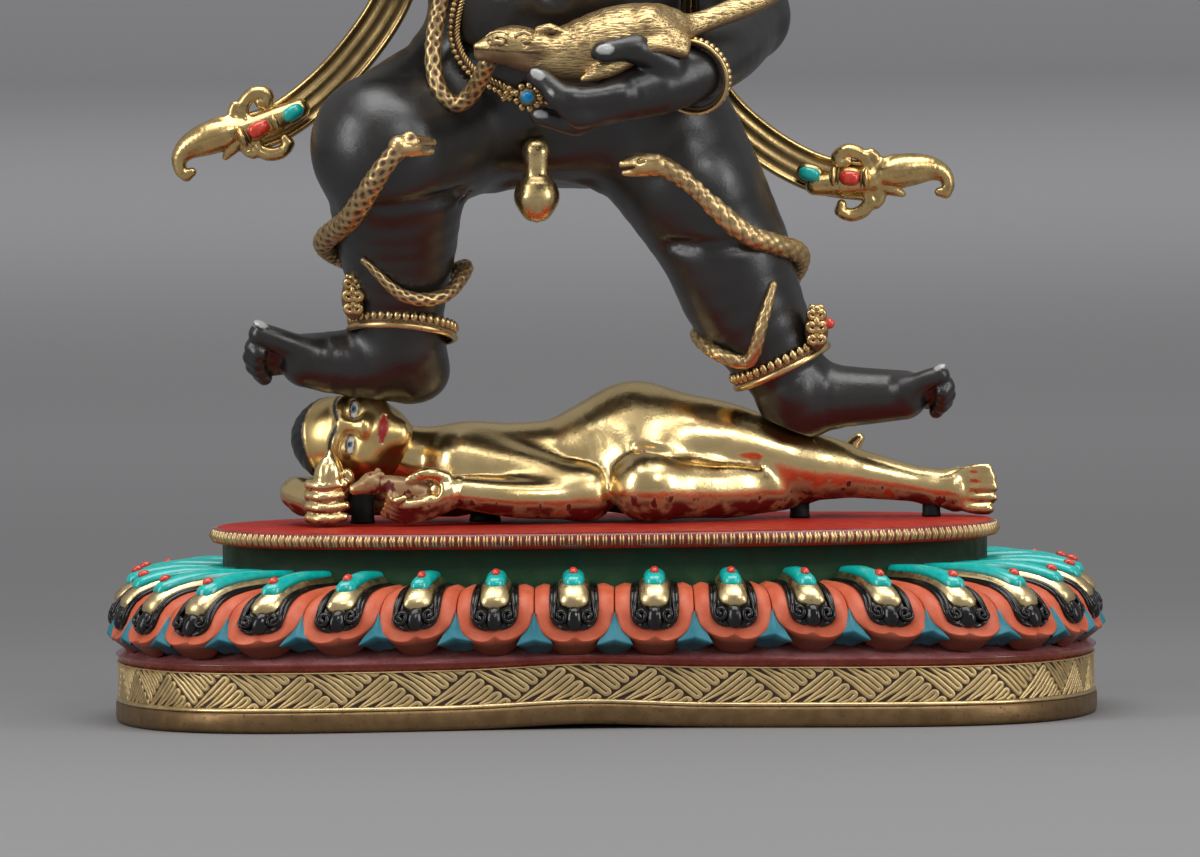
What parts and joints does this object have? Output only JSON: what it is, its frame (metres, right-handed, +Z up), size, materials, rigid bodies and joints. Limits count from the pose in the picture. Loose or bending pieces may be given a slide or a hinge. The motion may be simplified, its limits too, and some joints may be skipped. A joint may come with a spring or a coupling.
{
  "type": "black jambhala statue",
  "caption": "Painted and gilt statue of a stout black guardian standing on a lying golden figure over an oval lotus pedestal, with serpents, a mongoose, a skull cup and an arching scarf",
  "frame": {"origin": "middle of the pedestal's underside", "axes": "+Z up, the front faces -Y, +X to the viewer's right"},
  "size_m": [0.2494, 0.128, 0.33],
  "materials": {
    "black_paint": "satin charcoal black paint over cast copper, worn soft on the high places",
    "bright_gold": "polished fire gilding with dark red-brown patina in the hollows",
    "aged_gold": "duller gilding with brown patina in the carving",
    "lotus_paint": "matt terracotta paint",
    "support_black": "blackened metal",
    "turquoise_stone": "polished turquoise inlay",
    "coral_stone": "polished coral inlay"
  },
  "bodies": {
    "root": {"lotus_pedestal": "lotus_paint", "lying_figure": "bright_gold", "black_figure": "black_paint", "mongoose": "aged_gold", "scarf": "aged_gold", "pearl_necklace": "aged_gold", "belt_flower": "aged_gold", "belt_stone": "turquoise_stone", "anklet_coral": "coral_stone", "loin_pendant": "bright_gold", "crown": "aged_gold", "skull_cup": "bright_gold", "right_leg_serpent": "aged_gold", "left_leg_serpent": "aged_gold", "garland_serpent": "aged_gold", "scarf_coral_left": "coral_stone", "scarf_turquoise_left": "turquoise_stone", "scarf_coral_right": "coral_stone", "scarf_turquoise_right": "turquoise_stone", "right_anklet": "aged_gold", "left_anklet": "aged_gold", "left_bracelet": "aged_gold", "right_bracelet": "aged_gold", "left_armlet": "aged_gold", "right_armlet": "aged_gold", "right_earring": "aged_gold", "left_earring": "aged_gold", "head_post": "support_black", "chest_post": "support_black", "thigh_post": "support_black", "ankle_post": "support_black"}
  },
  "joints": []
}
